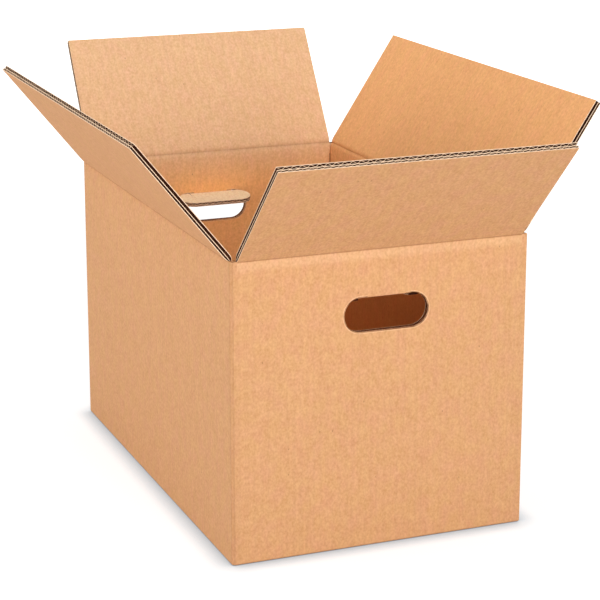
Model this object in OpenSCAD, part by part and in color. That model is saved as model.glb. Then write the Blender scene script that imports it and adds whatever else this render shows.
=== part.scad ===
// Moving box of double-wall corrugated board, standing open.
// X runs across the end walls, Y along the long walls, Z is up.
// The origin is the middle of the footprint, on the surface that the box stands on.

/* [Box] */
// Outside width, across an end wall
box_w = 318; // [240:1:420]
// Outside length, along a long wall
box_l = 508; // [420:1:700]
// Height of the end walls' top creases above the box's own underside
box_h = 308; // [220:1:420]
// Outer radius of the upright folds
fold_r = 3; // [1:0.5:5]
// Outer radius of the folds along the bottom
bottom_r = 2; // [1:0.5:4]
// How far the corner slots are cut below the end walls' creases
slot_drop = 1; // [0:0.5:4]
// Width of the glued lap inside the front wall
lap_w = 35; // [25:1:60]
// Thickness of the lap, which is crushed where it is glued
lap_t = 4.5; // [3:0.1:6]
// How far the lap stops short of the top and the bottom
lap_short = 18; // [16:1:40]

/* [Board] */
// Thickness of each flat liner
liner_t = 0.45; // [0.3:0.05:0.7]
// Thickness of the fluted paper
medium_t = 0.35; // [0.25:0.05:0.5]
// Height of the large flutes, next to the inner liner
large_h = 3.15; // [2.8:0.05:4]
// Pitch of the large flutes
large_pitch = 8.3; // [7.3:0.1:9.5]
// Height of the small flutes, next to the outer liner
small_h = 2.1; // [1.8:0.05:2.8]
// Pitch of the small flutes
small_pitch = 6.9; // [6.1:0.1:8]
// Width of the strip beside a crease where the flutes are crushed shut
crush_w = 10; // [9:0.5:14]

/* [Top flaps] */
// Gap left between the two side flaps when they are closed
seam_gap = 2; // [1:0.5:12]
// Lean of the front flap, outwards from upright
front_lean = 45; // [0:1:90]
// Lean of the back flap, outwards from upright
back_lean = 33; // [0:1:90]
// Lean of the left flap, outwards from upright
left_lean = 39; // [0:1:90]
// Lean of the right flap, outwards from upright
right_lean = 33; // [0:1:90]
// How far an end flap can open outwards from upright
end_flap_open = 135; // [100:5:140]
// How far a side flap can open outwards from upright
side_flap_open = 100; // [90:5:105]

/* [Hand holes] */
// Length of a hand hole
hole_w = 90; // [70:1:110]
// Height of a hand hole
hole_h = 35; // [28:1:45]
// Distance from the end crease down to the hole's upper edge
hole_drop = 48; // [40:1:90]
// How far a hole sits to the right of the wall's middle, seen from outside
hole_shift = 4; // [-10:1:10]
// Length of the crease that holds a pushed-in tab
tab_crease_w = 40; // [20:1:50]
// Turn of a tab inwards from closed
tab_turn = 82; // [0:1:130]
// How far a tab can turn inwards
tab_open = 135; // [130:5:140]

/* [Bottom] */
// Gap between the two side flaps of the bottom
bottom_seam = 1.5; // [0.5:0.5:6]
// Gap between the two layers of bottom flaps
layer_gap = 0.4; // [0.2:0.1:1]
// Width of the paper tape along the bottom seam
tape_w = 72; // [48:1:100]
// Thickness of the tape
tape_t = 0.2; // [0.1:0.05:0.3]
// How far the tape stops short of each end wall's outer face
tape_short = 4; // [2:1:20]

/* [Fits] */
// Radius of the rolled bead that a crease turns on
crease_r = 0.6; // [0.4:0.1:0.8]
// Clearance between the two sides of a crease
crease_clear = 0.3; // [0.2:0.05:0.5]
// Clearance between a flap's side edge and the wall next to it
slot_clear = 0.5; // [0.3:0.1:2]
// Clearance between a closed side flap and the end flap below it
nest_clear = 0.3; // [0.2:0.1:1]
// Clearance round a tab inside its hole
tab_clear = 1; // [0.8:0.1:2]

/* [Hidden] */
$fn = 64;

board_t = 3 * liner_t + large_h + small_h;
// Where each kind of flute touches its liner
large_contact = 1.2;
small_contact = 0.5;
// Half of the flat top of a large flute
large_tip = 0.45;
// Turn of a flap from upright to closed
shut_turn = 90;
// Radius of the crushed scores on the inner side of the upright folds
score_r = board_t / 4;
// How far the front wall's raw edge stops short of the right wall's outer face
raw_edge_in = fold_r / 2;
// How far the lap's ends are tapered
lap_taper = lap_w / 4;
// The bevel along a hole's upper inner edge runs a little way into the round ends
bevel_past = 0.15 * hole_h;
tab_bevel_w = hole_w - hole_h + 2 * bevel_past;
// How deep parts of the carton reach into the wall that they continue, so that they fuse
fuse_in = 1;
overcut = 1;

inner_w = box_w - 2 * board_t;
inner_l = box_l - 2 * board_t;

// Depth of each crease's axis below the outer face of its wall
end_axis_in = crease_r;
side_axis_in = board_t - crease_r;
// The side flaps close over the end flaps, so their creases are a little higher
crease_step = 2 * crease_r + nest_clear;
end_crease_z = tape_t + box_h;
side_crease_z = end_crease_z + crease_step;
corner_z = end_crease_z - slot_drop;

side_flap_l = box_w / 2 - side_axis_in - seam_gap / 2;
end_flap_l = side_flap_l + crease_step;
end_flap_w = inner_w - 2 * slot_clear;
side_flap_w = inner_l - 2 * slot_clear;

hole_top_z = end_crease_z - hole_drop;
tab_axis_in = board_t - crease_r;

board_colour = [0.87, 0.67, 0.48];
tape_colour = [0.76, 0.58, 0.40];

// Turns a shape that is made for the front wall to face another side.
// The shape's Y = 0 plane lands on that wall's outer face.
module at_wall(turn, reach) {
    rotate([0, 0, turn])
        translate([0, -reach, 0])
            children();
}

module front() {
    at_wall(0, box_l / 2) children();
}

module back() {
    at_wall(180, box_l / 2) children();
}

module left() {
    at_wall(-90, box_w / 2) children();
}

module right() {
    at_wall(90, box_w / 2) children();
}

// Extrudes a profile drawn as depth and height along a wall, centred on it
module along_wall(length) {
    rotate([90, 0, 90])
        linear_extrude(height = length, center = true)
            children();
}

// Outline of one hollow of a flute, open wide to the liner above it
function hollow(pitch, height, contact, tip) =
    let (wide = (pitch - contact) / 2, high = height / 2, low = medium_t - height / 2)
    tip > 0
        ? [[-wide, high], [-tip, low], [tip, low], [wide, high]]
        : [[-wide, high], [0, low], [wide, high]];

// The hollows of one fluted layer, in a whole number of waves over the width
module flute_hollows(width, mid_y, nominal_pitch, height, contact, tip) {
    waves = max(1, round(width / nominal_pitch));
    pitch = width / waves;
    outline = hollow(pitch, height, contact, tip);
    for (i = [0 : waves - 1])
        translate([(i + 0.5) * pitch - width / 2, mid_y])
            polygon(outline);
    for (i = [0 : waves])
        translate([i * pitch - width / 2, mid_y])
            mirror([0, 1])
                polygon(outline);
}

// Cut edge of the board: three liners with small and large flutes between them.
// The outer face is at Y = 0 and the inner face at Y = board_t.
module board_section(width) {
    small_mid = liner_t + small_h / 2;
    large_mid = 2 * liner_t + small_h + large_h / 2;
    difference() {
        translate([-width / 2, 0])
            square([width, board_t]);
        flute_hollows(width, small_mid, small_pitch, small_h, small_contact, 0);
        flute_hollows(width, large_mid, large_pitch, large_h, large_contact, large_tip);
    }
}

// Profile of a leaf of board that stands on its crease.
// The axis is the origin, the outer face is at -axis_in, and the leaf can
// turn outwards by open and inwards by shut before its root meets the wall.
function root_profile(axis_in, open, shut) =
    let (
        inner_y = board_t - axis_in,
        outer_slope = tan(open / 2),
        inner_slope = tan(shut / 2),
        outer_lift = crease_clear / cos(open / 2),
        inner_lift = crease_clear / cos(shut / 2),
        apex_y = (outer_lift - inner_lift) / (outer_slope + inner_slope)
    )
    [
        [-axis_in, axis_in * outer_slope + outer_lift],
        [apex_y, apex_y * inner_slope + inner_lift],
        [inner_y, inner_y * inner_slope + inner_lift],
        [inner_y, crush_w],
        [-axis_in, crush_w]
    ];

// A fluted leaf of board, upright on its crease, which runs along X at the origin
module leaf(width, length, axis_in, open, shut) {
    difference() {
        union() {
            along_wall(width)
                polygon(root_profile(axis_in, open, shut));
            translate([0, -axis_in, crush_w])
                linear_extrude(height = length - crush_w)
                    board_section(width);
        }
        along_wall(width + 2 * overcut)
            circle(r = crease_r + crease_clear);
    }
}

module end_flap(lean) {
    color(board_colour)
        translate([0, end_axis_in, end_crease_z])
            rotate([lean, 0, 0])
                leaf(end_flap_w, end_flap_l, end_axis_in, end_flap_open, shut_turn);
}

module side_flap(lean) {
    color(board_colour)
        translate([0, side_axis_in, side_crease_z])
            rotate([lean, 0, 0])
                leaf(side_flap_w, side_flap_l, side_axis_in, side_flap_open, shut_turn);
}

module front_flap() {
    front() end_flap(front_lean);
}

module back_flap() {
    back() end_flap(back_lean);
}

module left_flap() {
    left() side_flap(left_lean);
}

module right_flap() {
    right() side_flap(right_lean);
}

// Long hole with round ends, its upper edge on the X axis
module hole_outline(width, height) {
    end_x = (width - height) / 2;
    translate([0, -height / 2]) {
        square([2 * end_x, height], center = true);
        for (side = [-1, 1])
            translate([side * end_x, 0])
                circle(d = height);
    }
}

// The tab keeps the hole's outline less its clearance, and hangs from the upper edge
module hole_tab() {
    tab_w = hole_w - 2 * tab_clear;
    tab_h = hole_h - tab_clear;
    color(board_colour)
        translate([hole_shift, tab_axis_in, hole_top_z])
            rotate([tab_turn, 0, 0])
                intersection() {
                    mirror([0, 0, 1])
                        leaf(tab_w, tab_h, tab_axis_in, 0, tab_open);
                    translate([0, board_t, 0])
                        rotate([90, 0, 0])
                            linear_extrude(height = 2 * board_t)
                                tab_outline(tab_w, tab_clear);
                }
}

// Round ends like the hole's, moved in by the clearance, with a straight upper edge
module tab_outline(width, clear) {
    translate([0, -clear])
        hole_outline(width, hole_h - 2 * clear);
    translate([-(hole_w - hole_h) / 2, -hole_h / 2])
        square([hole_w - hole_h, hole_h / 2]);
}

module front_hole_tab() {
    front() hole_tab();
}

module back_hole_tab() {
    back() hole_tab();
}

module rounded_rect(width, length, radius) {
    square([width - 2 * radius, length], center = true);
    square([width, length - 2 * radius], center = true);
    for (x = [-1, 1], y = [-1, 1])
        translate([x * (width / 2 - radius), y * (length / 2 - radius)])
            circle(r = radius);
}

// The four walls seen from above. At the front right corner the right wall folds
// into the glued lap, and the front wall's raw edge runs past the fold.
module wall_ring() {
    corner = [box_w / 2 - board_t, -box_l / 2];
    difference() {
        union() {
            difference() {
                rounded_rect(box_w, box_l, fold_r);
                translate(corner)
                    square([board_t + overcut, board_t + fold_r]);
            }
            translate(corner)
                square([board_t - raw_edge_in, board_t]);
            translate(corner + [0, board_t])
                square([board_t - fold_r, fold_r]);
            translate([box_w / 2 - fold_r, -box_l / 2 + board_t + fold_r])
                circle(r = fold_r);
        }
        square([inner_w, inner_l], center = true);
        corner_scores();
    }
}

// Crushed scores in the three folded corners, on the inner side
module corner_scores() {
    for (side = [[-1, -1], [-1, 1], [1, 1]])
        translate([side[0] * inner_w / 2, side[1] * inner_l / 2])
            circle(r = score_r);
}

// What is cut away above a crease so that the wall's top is a wedge under its axis
module above_crease(axis_in, open, shut) {
    inner_y = board_t - axis_in;
    outer_y = -axis_in - overcut;
    polygon([
        [outer_y, outer_y * tan(open / 2)],
        [0, 0],
        [inner_y, -inner_y * tan(shut / 2)],
        [inner_y, box_h],
        [outer_y, box_h]
    ]);
}

module end_wall_cuts() {
    translate([0, end_axis_in, end_crease_z])
        along_wall(inner_w)
            above_crease(end_axis_in, end_flap_open, shut_turn);
    translate([hole_shift, 0, hole_top_z])
        hand_hole();
    translate([0, 0, tape_t])
        bottom_rounding(box_w);
}

module side_wall_cuts() {
    translate([0, side_axis_in, side_crease_z])
        along_wall(inner_l)
            above_crease(side_axis_in, side_flap_open, shut_turn);
    translate([0, 0, tape_t])
        bottom_rounding(box_l);
}

// The hole goes through the wall, and a bevel along its upper inner edge lets the tab turn up
module hand_hole() {
    bevel_y = crease_r + overcut;
    bevel = [
        [0, -overcut],
        [0, 0],
        [bevel_y, bevel_y * tan(tab_open / 2)],
        [bevel_y, -overcut]
    ];
    translate([0, board_t + overcut, 0])
        rotate([90, 0, 0])
            linear_extrude(height = board_t + 2 * overcut)
                hole_outline(hole_w, hole_h);
    translate([0, tab_axis_in, 0])
        along_wall(tab_bevel_w)
            polygon(bevel);
}

module bottom_rounding(length) {
    along_wall(length + 2 * overcut)
        difference() {
            translate([-overcut, -overcut])
                square(bottom_r + overcut);
            translate([bottom_r, bottom_r])
                circle(r = bottom_r);
        }
}

// The beads that the flaps and the tabs turn on
module end_wall_beads() {
    translate([0, end_axis_in, end_crease_z])
        along_wall(end_flap_w)
            circle(r = crease_r);
    translate([hole_shift, tab_axis_in, hole_top_z])
        along_wall(tab_crease_w)
            circle(r = crease_r);
}

module side_wall_beads() {
    translate([0, side_axis_in, side_crease_z])
        along_wall(side_flap_w)
            circle(r = crease_r);
}

// Lap of the right wall, glued flat to the inside of the front wall
module glued_lap() {
    low = tape_t + lap_short;
    high = end_crease_z - lap_short;
    root_x = inner_w / 2;
    outline = [
        [root_x, low],
        [root_x + fuse_in, low],
        [root_x + fuse_in, high],
        [root_x, high],
        [root_x - lap_w, high - lap_taper],
        [root_x - lap_w, low + lap_taper]
    ];
    translate([0, board_t + lap_t, 0])
        rotate([90, 0, 0])
            linear_extrude(height = lap_t + fuse_in)
                polygon(outline);
}

// Bottom flaps, folded shut: the side flaps meet along the middle, under the end flaps
module bottom_side_flap() {
    reach = (inner_w - bottom_seam) / 2 + fuse_in;
    translate([-side_flap_w / 2, board_t - fuse_in, tape_t])
        cube([side_flap_w, reach, board_t]);
}

module bottom_end_flap() {
    reach = end_flap_l - board_t + fuse_in;
    translate([-end_flap_w / 2, board_t - fuse_in, tape_t + board_t + layer_gap])
        cube([end_flap_w, reach, board_t]);
}

module carton() {
    color(board_colour) {
        difference() {
            translate([0, 0, tape_t])
                linear_extrude(height = side_crease_z - tape_t)
                    wall_ring();
            front() end_wall_cuts();
            back() end_wall_cuts();
            left() side_wall_cuts();
            right() side_wall_cuts();
            corner_slots();
        }
        front() end_wall_beads();
        back() end_wall_beads();
        left() side_wall_beads();
        right() side_wall_beads();
        front() glued_lap();
        left() bottom_side_flap();
        right() bottom_side_flap();
        front() bottom_end_flap();
        back() bottom_end_flap();
    }
}

// The slots that part the flaps end just below the creases, in all four corners
module corner_slots() {
    for (x = [-1, 1], y = [-1, 1])
        translate([x * box_w / 2, y * box_l / 2, corner_z + box_h / 2])
            cube([2 * board_t, 2 * board_t, box_h], center = true);
}

module bottom_tape() {
    color(tape_colour)
        translate([0, 0, tape_t / 2])
            cube([tape_w, box_l - 2 * tape_short, tape_t], center = true);
}

carton();
front_flap();
back_flap();
left_flap();
right_flap();
front_hole_tab();
back_hole_tab();
bottom_tape();
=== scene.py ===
import math

import bmesh
import bpy
import numpy as np
from mathutils import Matrix, Vector


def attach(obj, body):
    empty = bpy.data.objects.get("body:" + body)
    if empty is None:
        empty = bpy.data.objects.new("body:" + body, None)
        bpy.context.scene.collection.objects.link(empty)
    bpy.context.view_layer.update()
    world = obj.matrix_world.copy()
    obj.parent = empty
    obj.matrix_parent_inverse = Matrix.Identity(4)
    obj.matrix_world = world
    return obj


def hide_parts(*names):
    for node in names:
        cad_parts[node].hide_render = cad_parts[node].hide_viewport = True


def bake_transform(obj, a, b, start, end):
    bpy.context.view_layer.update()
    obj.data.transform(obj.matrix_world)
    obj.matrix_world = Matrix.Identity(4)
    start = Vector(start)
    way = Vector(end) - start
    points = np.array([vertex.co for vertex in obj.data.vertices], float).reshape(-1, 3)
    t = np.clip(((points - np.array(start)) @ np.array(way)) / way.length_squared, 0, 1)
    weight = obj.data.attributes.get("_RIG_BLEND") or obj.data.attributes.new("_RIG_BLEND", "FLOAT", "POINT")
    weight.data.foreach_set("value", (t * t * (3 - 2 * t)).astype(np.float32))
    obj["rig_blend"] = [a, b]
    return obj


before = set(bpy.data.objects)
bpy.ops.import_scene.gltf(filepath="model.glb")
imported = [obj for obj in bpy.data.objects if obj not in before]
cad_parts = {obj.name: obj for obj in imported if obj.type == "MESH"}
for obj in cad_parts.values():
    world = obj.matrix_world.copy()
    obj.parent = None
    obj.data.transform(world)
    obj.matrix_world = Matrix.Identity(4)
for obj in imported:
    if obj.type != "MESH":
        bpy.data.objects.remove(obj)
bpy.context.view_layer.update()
mm = 0.001


# Nodes: one class wraps a socket, the other adds nodes to a tree


class Value:
    def __init__(self, nodes, socket):
        self.nodes = nodes
        self.socket = socket

    def calc(self, operation, *others):
        return self.nodes.add("ShaderNodeMath", {"operation": operation}, dict(enumerate((self, *others))))

    def __add__(self, other):
        return self.calc("ADD", other)

    def __mul__(self, other):
        return self.calc("MULTIPLY", other)

    def __sub__(self, other):
        return self.calc("SUBTRACT", other)

    def __truediv__(self, other):
        return self.calc("DIVIDE", other)

    def __rsub__(self, other):
        return self.nodes.add("ShaderNodeMath", {"operation": "SUBTRACT"}, {0: other, 1: self})

    __radd__ = __add__
    __rmul__ = __mul__


class Nodes:
    def __init__(self, tree):
        self.tree = tree

    # settings first, then the sockets' values or links
    def add(self, kind, settings=None, values=None, out=0):
        node = self.tree.nodes.new(kind)
        for key, setting in (settings or {}).items():
            setattr(node, key, setting)
        for key, value in (values or {}).items():
            for each in value if isinstance(value, list) else [value]:
                if isinstance(each, Value):
                    self.tree.links.new(each.socket, node.inputs[key])
                else:
                    node.inputs[key].default_value = each
        return Value(self, node.outputs[out]) if len(node.outputs) else node

    # another output of the same node
    def also(self, value, out):
        return Value(self, value.socket.node.outputs[out])

    def split(self, vector):
        first = self.add("ShaderNodeSeparateXYZ", None, {0: vector})
        return first, self.also(first, 1), self.also(first, 2)

    def mix(self, share, first, second):
        return self.add("ShaderNodeMix", {"data_type": "RGBA"}, {0: share, 6: first, 7: second}, 2)

    def vectors(self, operation, values, out=0):
        return self.add("ShaderNodeVectorMath", {"operation": operation}, values, out)

    def scale(self, vector, share):
        return self.vectors("SCALE", {0: vector, "Scale": share})

    def clamp(self, value):
        return self.add("ShaderNodeClamp", None, {"Value": value})


# Sizes in mm, as the solids have them

box = {
    "width": 318.0,
    "length": 508.0,
    "boardT": 6.6,
    "linerT": 0.65,  # drawn a little thick
    "smallPitch": 6.9,
    "largePitch": 8.3,
    "smallShare": 0.4,  # of the room between the liners
    "middleDepth": 2.5,  # from the outer face to the middle liner
    "cellGap": 0.02,  # keeps what fills a cell off its liners
    "foldRadius": 3.0,
    "leastRadius": 0.2,
    "foldSteps": 8,
    "foldEase": 0.6,  # from a fold's arc to the next point of the path
    "panelIn": 8.0,  # from a flap's edge in to the wall's flat panel
    "bottomRadius": 2.0,
    "floorGap": 0.2,  # the tape's thickness
    "cornerTop": 308.6,
    "bandFoot": 296.2,  # where the crease bands begin
    "bandReach": 12.0,
    "rawEdgeIn": 1.5,
    "lapT": 4.5,
}
boardT, linerT, mid = box["boardT"], box["linerT"], box["middleDepth"]
halfWide, halfLong = box["width"] / 2, box["length"] / 2
floorZ = box["floorGap"]
rawX = halfWide - box["rawEdgeIn"]

endWall = {
    "reach": halfLong,
    "axisIn": 0.6,
    "creaseZ": 308.2,
    "width": 303.8,
    "length": 153.5,
    "valley": 0.35,  # how far the outer liner dips at the crease
    "paleStrip": 0.22,  # painted highlight: how much paler the wall is just below the crease
}
sideWall = {
    "reach": halfWide,
    "axisIn": 6.0,
    "creaseZ": 309.7,
    "width": 493.8,
    "length": 152.0,
    "valley": 1.4,
    "paleStrip": 0.0,
}
endHalf, sideHalf = endWall["width"] / 2, sideWall["width"] / 2

# middle is the place of the wall's middle on the blank
walls = {
    "front": {**endWall, "turn": 0, "lean": 45, "middle": 160.0},
    "back": {**endWall, "turn": 180, "lean": 33, "middle": 986.0},
    "left": {**sideWall, "turn": -90, "lean": 39, "middle": 573.0},
    "right": {**sideWall, "turn": 90, "lean": 33, "middle": 1399.0},
}


# Paper finishes, with painted light and shade in some of them

paper = {
    "outside": (0.645, 0.346, 0.156),  # outer liner, linear colour
    "outsidePink": (0.652, 0.332, 0.169),
    "inside": (0.805, 0.421, 0.168),
    "insidePink": (0.815, 0.402, 0.175),
    "far": (0.895, 0.470, 0.178),  # painted light: the inner liner brighter and more saturated on the back wall's inner face, for the light and bounce there
    "farPink": (0.900, 0.452, 0.186),
    "deep": (0.60, 0.290, 0.108),  # painted shade: the walls' inner faces darker low down
    "deepPink": (0.61, 0.280, 0.112),
    "sunlit": (0.778, 0.484, 0.260),  # painted light: the inner liner paler and less saturated where it is brightly lit
    "sunlitPink": (0.788, 0.468, 0.272),
    # painted light: the tabs' top faces paler, as lit from above
    "tabTop": (0.98, 0.765, 0.490),
    "tabTopPink": (0.98, 0.750, 0.500),
    "pinkFrom": 0.38,  # the hue noise where the pink tint begins
    "pinkRise": 3.2,
    # painted shade: the dark colour of positive tones at creases, folds, hole lips and the walls' foot,
    # shared with the real dark fibres
    "crease": (0.20, 0.062, 0.018),
    # painted highlight: the paler colour of negative tones, at hole lips, the tabs' cut edges and below the
    # end walls' creases
    "paintedHighlight": (0.86, 0.56, 0.34),
    "cutEdge": (0.94, 0.69, 0.48),
    "fluteEnds": (0.76, 0.50, 0.32),
    # painted shade: the flute paper nearly black, for the shade inside the open cells
    "flutes": (0.060, 0.018, 0.008),
    # painted shade: the cut edges inside the hand holes, darker than cutEdge as they lie in shade
    "holeRims": (0.36, 0.150, 0.072),
    "tape": (0.50, 0.290, 0.140),
    "streaks": 0.08,  # share of brightness, along the flutes
    "broad": 0.064,
    "mottle": 0.23,
    "grain": 0.56,
    "grainTint": (0.69, 1.04, 1.54),  # the grain is greyer than the paper
    "washboard": 0.012,
    "speckPlaces": (150, 90),  # cells per metre across and along the flutes
    "speckFrom": 0.94,  # the share of cells without a speck
    "speckRadius": 0.10,
    "speckTone": 0.4,
    "relief": (0.5, 0.5, 0.8, 0.25),  # of the grain, mottle, streaks and flutes in the bump
    "bump": 0.22,
    "bumpDepth": 0.35,
    "roughness": 0.86,
    "roughMottle": 0.12,
    "shine": 0.28,
    "cutBump": 0.4,
    "cutBumpDepth": 0.2,
    "cutRoughness": 0.92,
    "cutShine": 0.08,
}

# the liners' noises: scales across and along the flutes per metre, detail and seed
noises = {
    "streaks": (380, 12, 3.0, 0.0),
    "broad": (45, 9, 2.0, 3.1),
    "mottle": (150, 95, 3.0, 7.7),
    "grain": (480, 360, 2.0, 12.3),
    "hue": (75, 48, 1.5, 21.0),
}


def opaque(colour):
    return (*colour, 1)


def emptied(owner):
    owner.use_nodes = True
    owner.node_tree.nodes.clear()
    return Nodes(owner.node_tree)


def newMaterial(name):
    material = bpy.data.materials.new(name)
    return material, emptied(material)


def shadeWith(nodes, surface):
    nodes.add("ShaderNodeOutputMaterial", None, {"Surface": surface})


def shadeAsPaper(nodes, colour, roughness, shine, height, strength, depth):
    bump = nodes.add("ShaderNodeBump", None, {"Height": height, "Strength": strength, "Distance": depth * mm})
    values = {"Base Color": colour, "Roughness": roughness, "Specular IOR Level": shine, "Normal": bump}
    shadeWith(nodes, nodes.add("ShaderNodeBsdfPrincipled", None, values))


# below: the colours low on a wall and the heights they change between, painted light and shade
def liner(name, colour, flutePitch, seed, below=None):
    material, nodes = newMaterial(name)
    add = nodes.add
    across, along, _ = nodes.split(add("ShaderNodeUVMap", {"uv_map": "board"}))

    def spread(acrossScale, alongScale, depth):
        return add("ShaderNodeCombineXYZ", None, {0: across * acrossScale, 1: along * alongScale, 2: depth})

    def noise(kind):
        acrossScale, alongScale, detail, shift = noises[kind]
        spot = spread(acrossScale, alongScale, seed + shift)
        values = {"Vector": spot, "Scale": 1.0, "Detail": detail, "Roughness": 0.55}
        return add("ShaderNodeTexNoise", None, values)

    streaks, broad, mottle, grain = (noise(kind) - 0.5 for kind in ("streaks", "broad", "mottle", "grain"))
    ribs = (across * (2 * math.pi / (flutePitch * mm))).calc("SINE")
    tone = 1 + streaks * paper["streaks"] + broad * paper["broad"] + ribs * paper["washboard"]
    fine = nodes.scale(paper["grainTint"], mottle * paper["mottle"] + grain * paper["grain"])
    tone = nodes.vectors("ADD", {0: fine, 1: tone})
    pink = nodes.clamp((noise("hue") - paper["pinkFrom"]) * paper["pinkRise"])

    def tinted(colour):
        return nodes.mix(pink, opaque(paper[colour]), opaque(paper[colour + "Pink"]))

    base = tinted(colour)
    if below:
        lowColour, foot, head = below
        base = nodes.mix(nodes.clamp((along - foot) / (head - foot)), tinted(lowColour), base)

    # sparse dark fibres
    spot = spread(*paper["speckPlaces"], seed)
    cell = add("ShaderNodeTexVoronoi", None, {"Vector": spot, "Scale": 1.0})
    pick, _, _ = nodes.split(nodes.also(cell, 1))
    chosen = pick.calc("GREATER_THAN", paper["speckFrom"])
    speck = chosen * cell.calc("LESS_THAN", paper["speckRadius"]) * paper["speckTone"]

    # painted light: a tone attribute paints shade into creases, folds, hole lips and the walls' foot where it
    # is positive, and a highlight where it is negative
    creaseTone = add("ShaderNodeAttribute", {"attribute_name": "creaseTone"}, None, 2)
    base = nodes.mix((creaseTone * -1).calc("MAXIMUM", 0.0), base, opaque(paper["paintedHighlight"]))
    base = nodes.mix(creaseTone.calc("MAXIMUM", speck), base, opaque(paper["crease"]))
    shaded = nodes.vectors("MULTIPLY", {0: base, 1: tone})
    height = sum(part * share for part, share in zip((grain, mottle, streaks, ribs), paper["relief"]))
    roughness = paper["roughness"] + mottle * paper["roughMottle"]
    shadeAsPaper(nodes, shaded, roughness, paper["shine"], height, paper["bump"], paper["bumpDepth"])
    return material


# cut edges and other small paper surfaces
def fibrous(name, colour, scale, contrast):
    material, nodes = newMaterial(name)
    place = nodes.add("ShaderNodeTexCoord", None, None, 3)
    fibre = nodes.add("ShaderNodeTexNoise", None, {"Vector": place, "Scale": scale, "Detail": 3.0}) - 0.5
    shaded = nodes.scale(colour, 1 + fibre * contrast)
    roughness, shine = paper["cutRoughness"], paper["cutShine"]
    shadeAsPaper(nodes, shaded, roughness, shine, fibre, paper["cutBump"], paper["cutBumpDepth"])
    return material


# painted light and shade: the back wall's inner face turns paler at its top, the other walls' inner faces
# darker low down
lowerFar = ("far", 0.268, 0.308)
lowerSide = ("deep", 0.15, 0.24)
inner = (box["largePitch"], 40.0)
linerOutside = liner("linerOutside", "outside", box["smallPitch"], 0.0)
linerInside = liner("linerInside", "inside", *inner)
# painted light: the paler inner liner, for the back flap and the back wall's top
linerPaintedLit = liner("linerPaintedLit", "sunlit", *inner)
# the tabs' top faces, in painted light
linerTab = liner("linerTab", "tabTop", *inner)
linerFar = liner("linerFar", "sunlit", *inner, lowerFar)
linerDeep = liner("linerDeep", "inside", *inner, lowerSide)
cutEdge = fibrous("cutPaperEdge", paper["cutEdge"], 1500, 0.5)
# painted shade inside the flutes
fluteShadePaper = fibrous("fluteShadePaper", paper["flutes"], 900, 0.4)
fluteEnds = fibrous("fluteEnds", paper["fluteEnds"], 1500, 0.4)
# the hand holes' cut edges, in painted shade
holeRims = fibrous("holeRims", paper["holeRims"], 500, 3.0)
tapePaper = fibrous("paperTape", paper["tape"], 700, 0.25)
looks = [linerOutside, linerInside, cutEdge, fluteShadePaper, linerFar, linerDeep, linerTab]
outsideLook, insideLook, cutLook, fluteShadeLook, farLook, deepLook, tabLook = range(7)
print("materials made")


def wallPlace(name):
    wall = walls[name]
    turn = Matrix.Rotation(math.radians(wall["turn"]), 4, "Z")
    return turn @ Matrix.Translation((0, -wall["reach"], 0))


def flapPlace(name):
    wall = walls[name]
    axis = Vector((0, wall["axisIn"], wall["creaseZ"]))
    lean = Matrix.Rotation(math.radians(wall["lean"]), 4, "X")
    return wallPlace(name) @ Matrix.Translation(axis) @ lean @ Matrix.Translation((0, -wall["axisIn"], 0))


# Mesh helpers, in mm until a piece is finished


def arc(centre, radius, begin, end, steps):
    angles = [math.radians(begin + (end - begin) * i / steps) for i in range(steps + 1)]
    return [(centre[0] + radius * math.cos(a), centre[1] + radius * math.sin(a)) for a in angles]


# how far each point of a path lies along it
def pathLengths(path):
    lengths = [0.0]
    for a, b in zip(path, path[1:]):
        lengths.append(lengths[-1] + math.hypot(b[0] - a[0], b[1] - a[1]))
    return lengths


def column(grid, j):
    return [row[j] for row in grid]


def newDraft():
    draft = bmesh.new()
    draft.loops.layers.uv.new("board")
    draft.verts.layers.float.new("creaseTone")
    return draft


def addFace(draft, points, places, look, tones=()):
    uv = draft.loops.layers.uv["board"]
    toneLayer = draft.verts.layers.float["creaseTone"]
    corners = [draft.verts.new(p) for p in points]
    for corner, tone in zip(corners, tones):
        corner[toneLayer] = tone
    face = draft.faces.new(corners)
    face.material_index = look
    face.smooth = True
    for loop, place in zip(face.loops, places):
        loop[uv].uv = place


# a grid of points as quads. look may be a function of a quad's first two points
def addGrid(draft, points, places, look, tones, skip=()):
    for i in range(len(points) - 1):
        for j in range(len(points[0]) - 1):
            if (i, j) in skip:
                continue
            here = look(points[i][j], points[i][j + 1]) if callable(look) else look
            cells = [(i, j), (i, j + 1), (i + 1, j + 1), (i + 1, j)]
            corners = [points[a][b] for a, b in cells]
            if (Vector(corners[0]) - Vector(corners[2])).length < 1e-5:
                continue
            addFace(draft, corners, [places[a][b] for a, b in cells], here, [tones[a][b] for a, b in cells])


# a thin closed sheet between two grids. endLook is for the first and last rows' rims
def addSheet(
    draft, front, back, places, frontLook, backLook, tones, skip=(), sideLook=cutLook, endLook=cutLook
):
    addGrid(draft, front, places, frontLook, tones, skip)
    addGrid(draft, back, places, backLook, tones, skip)
    for i in (0, len(front) - 1):
        addGrid(draft, [front[i], back[i]], [places[i]] * 2, endLook, [tones[i]] * 2)
    for j in (0, len(front[0]) - 1):
        rim = [column(front, j), column(back, j)]
        addGrid(draft, rim, [column(places, j)] * 2, sideLook, [column(tones, j)] * 2)


# the three liners: depths and looks of both faces, and a value each. The faces toward the cells take the
# flutes' painted shade
def linerLayers(innerLook, values):
    depths = [(0.0, linerT), (mid, mid + linerT), (boardT - linerT, boardT)]
    faceLooks = [(outsideLook, fluteShadeLook), (fluteShadeLook, fluteShadeLook), (fluteShadeLook, innerLook)]
    return [(*depth, *pair, value) for depth, pair, value in zip(depths, faceLooks, values)]


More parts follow.
